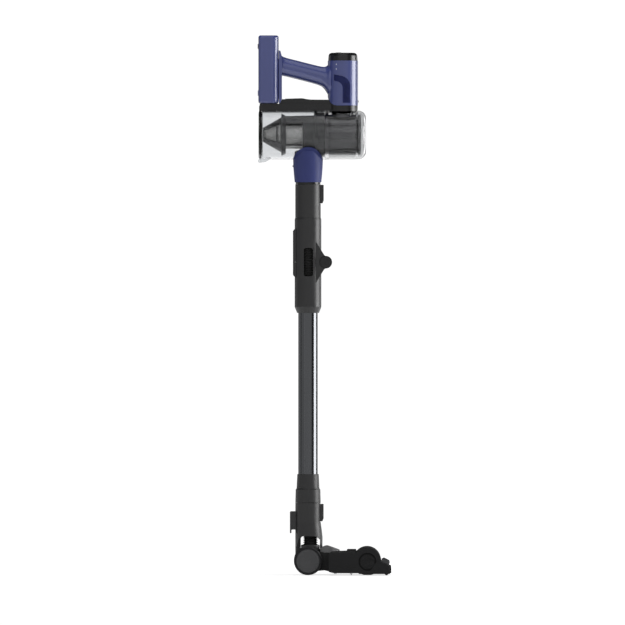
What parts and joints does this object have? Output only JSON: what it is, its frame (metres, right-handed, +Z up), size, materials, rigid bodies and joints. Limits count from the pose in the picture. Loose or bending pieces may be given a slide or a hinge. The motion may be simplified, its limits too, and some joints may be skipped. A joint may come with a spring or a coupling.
{
  "type": "cordless stick vacuum",
  "caption": "Upright cordless stick vacuum: powered floor head on a swivel neck, folding wand, clear cyclone cup, looped handle, display pod and slide-on battery.",
  "frame": {"origin": "on the floor, under the middle of the machine's overall length and width", "axes": "+X forward, the way the floor head points; +Y left; +Z up along the wand"},
  "size_m": [0.2734, 0.236, 1.105],
  "materials": {
    "indigo_plastic": "satin gloss",
    "dark_plastic": "fine satin",
    "head_plastic": "fine matte",
    "black_plastic": "gloss",
    "clear_plastic": "clear gloss",
    "grey_plastic": "satin",
    "button_plastic": "satin",
    "tube_aluminium": "anodised satin gloss",
    "mesh_steel": "fine perforated",
    "steel": "ground",
    "silver_plastic": "metallic",
    "soft_rubber": "matte",
    "tread": "matte",
    "pile": "bristle",
    "filter_media": "pleated",
    "lamp_lens": "smoked clear",
    "display": "glossy lens",
    "motor_metal": "machined",
    "brush_motor_can": "plated",
    "cell_wrap": "film"
  },
  "bodies": {
    "floor_head": {"head_base": "head_plastic", "head_cover": "head_plastic", "end_caps": "head_plastic", "lamp_lens": "lamp_lens", "bumper_strip": "soft_rubber", "rear_squeegee": "soft_rubber", "brush_motor": "brush_motor_can", "drive_belt": "soft_rubber", "seat_frame": "head_plastic", "seat_cover": "grey_plastic", "wheel_axles": "steel"},
    "cover_latch": {"cover_latch": "button_plastic"},
    "wheel_left": {"left_wheel_hub": "grey_plastic", "left_tyre": "tread"},
    "wheel_right": {"right_wheel_hub": "grey_plastic", "right_tyre": "tread"},
    "front_rollers": {"front_rollers": "button_plastic"},
    "brush_roll": {"brush_core": "dark_plastic", "brush_bristles": "pile"},
    "motor_pulley": {"motor_pulley": "steel"},
    "swivel": {"swivel_elbow": "dark_plastic"},
    "neck": {"neck_tube": "dark_plastic", "neck_hose": "soft_rubber", "roll_pins": "steel", "storage_hook": "dark_plastic"},
    "neck_button": {"head_release_button": "button_plastic"},
    "wand": {"wand_end_cup": "dark_plastic", "wand_tube": "tube_aluminium", "elbow_lower_shell": "dark_plastic", "fold_pin": "button_plastic", "fold_hose": "soft_rubber"},
    "upper_wand": {"elbow_upper_shell": "dark_plastic", "upper_connector": "dark_plastic"},
    "fold_lever": {"fold_release_lever": "button_plastic"},
    "wand_button": {"wand_release_button": "button_plastic"},
    "handheld": {"inlet_nozzle": "indigo_plastic", "inlet_duct": "black_plastic", "frame_ring": "silver_plastic", "spine_frame": "black_plastic", "handle_left": "indigo_plastic", "handle_right": "indigo_plastic", "exhaust_vents": "black_plastic", "control_cap": "black_plastic", "display_lens": "display", "motor": "motor_metal", "dust_cup": "clear_plastic", "cyclone_frame": "dark_plastic", "cyclone_mesh": "mesh_steel", "core_housing": "dark_plastic", "rear_shroud": "clear_plastic"},
    "power_button": {"power_button": "silver_plastic"},
    "fan": {"fan_impeller": "motor_metal"},
    "dust_door": {"dust_door": "clear_plastic"},
    "door_slider": {"door_slider": "black_plastic"},
    "filter": {"filter_cap": "clear_plastic", "filter_frame": "dark_plastic", "hepa_filter": "filter_media"},
    "battery": {"battery_case": "indigo_plastic", "battery_cells": "cell_wrap"},
    "battery_button": {"battery_release_button": "black_plastic"}
  },
  "joints": [
    {"name": "left_wheel_spin", "type": "hinge", "parent": "floor_head", "child": "wheel_left", "pos_m": [-0.0335, 0.052, 0.029], "axis": [0, 1, 0], "continuous": true},
    {"name": "right_wheel_spin", "type": "hinge", "parent": "floor_head", "child": "wheel_right", "pos_m": [-0.0335, -0.052, 0.029], "axis": [0, 1, 0], "continuous": true},
    {"name": "front_roller_spin", "type": "hinge", "parent": "floor_head", "child": "front_rollers", "pos_m": [0.127, 0, 0.0035], "axis": [0, 1, 0], "continuous": true},
    {"name": "brush_spin", "type": "hinge", "parent": "floor_head", "child": "brush_roll", "pos_m": [0.088, 0, 0.0255], "axis": [0, 1, 0], "continuous": true},
    {"name": "brush_motor_spin", "type": "hinge", "parent": "floor_head", "child": "motor_pulley", "pos_m": [0.036, 0.099, 0.026], "axis": [0, 1, 0], "continuous": true},
    {"name": "cover_latch_slide", "type": "slide", "parent": "floor_head", "child": "cover_latch", "axis": [1, 0, 0], "range_m": [0, 0.0018]},
    {"name": "head_pitch", "type": "hinge", "parent": "floor_head", "child": "swivel", "pos_m": [-0.0335, 0, 0.029], "axis": [0, -1, 0], "range_deg": [0, 85]},
    {"name": "neck_roll", "type": "hinge", "parent": "swivel", "child": "neck", "pos_m": [-0.0285, 0, 0.05], "axis": [1, 0, 0], "range_deg": [-35, 35], "deforming": ["neck_hose"]},
    {"name": "head_release_press", "type": "slide", "parent": "neck", "child": "neck_button", "axis": [-1, 0, 0], "range_m": [0, 0.002], "stiffness_N_per_m": 600},
    {"name": "wand_pull", "type": "slide", "parent": "neck", "child": "wand", "axis": [0, 0, 1], "range_m": [0, 0.05]},
    {"name": "wand_fold", "type": "hinge", "parent": "wand", "child": "upper_wand", "pos_m": [0.003, 0, 0.6406], "axis": [0, 1, 0], "range_deg": [0, 90], "deforming": ["fold_hose"]},
    {"name": "fold_lever_press", "type": "slide", "parent": "upper_wand", "child": "fold_lever", "axis": [1, 0, 0], "range_m": [0, 0.002], "stiffness_N_per_m": 600},
    {"name": "wand_release_press", "type": "slide", "parent": "upper_wand", "child": "wand_button", "axis": [-1, 0, 0], "range_m": [0, 0.002], "stiffness_N_per_m": 600},
    {"name": "handheld_pull", "type": "slide", "parent": "upper_wand", "child": "handheld", "axis": [0, 0, 1], "range_m": [0, 0.05]},
    {"name": "power_press", "type": "slide", "parent": "handheld", "child": "power_button", "axis": [0, 0, -1], "range_m": [0, 0.0008], "stiffness_N_per_m": 900},
    {"name": "fan_spin", "type": "hinge", "parent": "handheld", "child": "fan", "pos_m": [0.038, 0, 1], "axis": [0, 0, 1], "continuous": true},
    {"name": "door_swing", "type": "hinge", "parent": "handheld", "child": "dust_door", "pos_m": [-0.1322, 0, 0.848], "axis": [0, -1, 0], "range_deg": [0, 95]},
    {"name": "door_slider_push", "type": "slide", "parent": "handheld", "child": "door_slider", "axis": [-1, 0, 0], "range_m": [0, 0.006], "stiffness_N_per_m": 150},
    {"name": "filter_pull", "type": "slide", "parent": "handheld", "child": "filter", "axis": [1, 0, 0], "range_m": [0, 0.075]},
    {"name": "battery_slide", "type": "slide", "parent": "handheld", "child": "battery", "axis": [0, 0, 1], "range_m": [0, 0.095]},
    {"name": "battery_release_press", "type": "slide", "parent": "battery", "child": "battery_button", "axis": [1, 0, 0], "range_m": [0, 0.0014], "stiffness_N_per_m": 900}
  ],
  "couplings": [
    {"joint": "brush_motor_spin", "follows": "brush_spin", "ratio": 2.2}
  ]
}
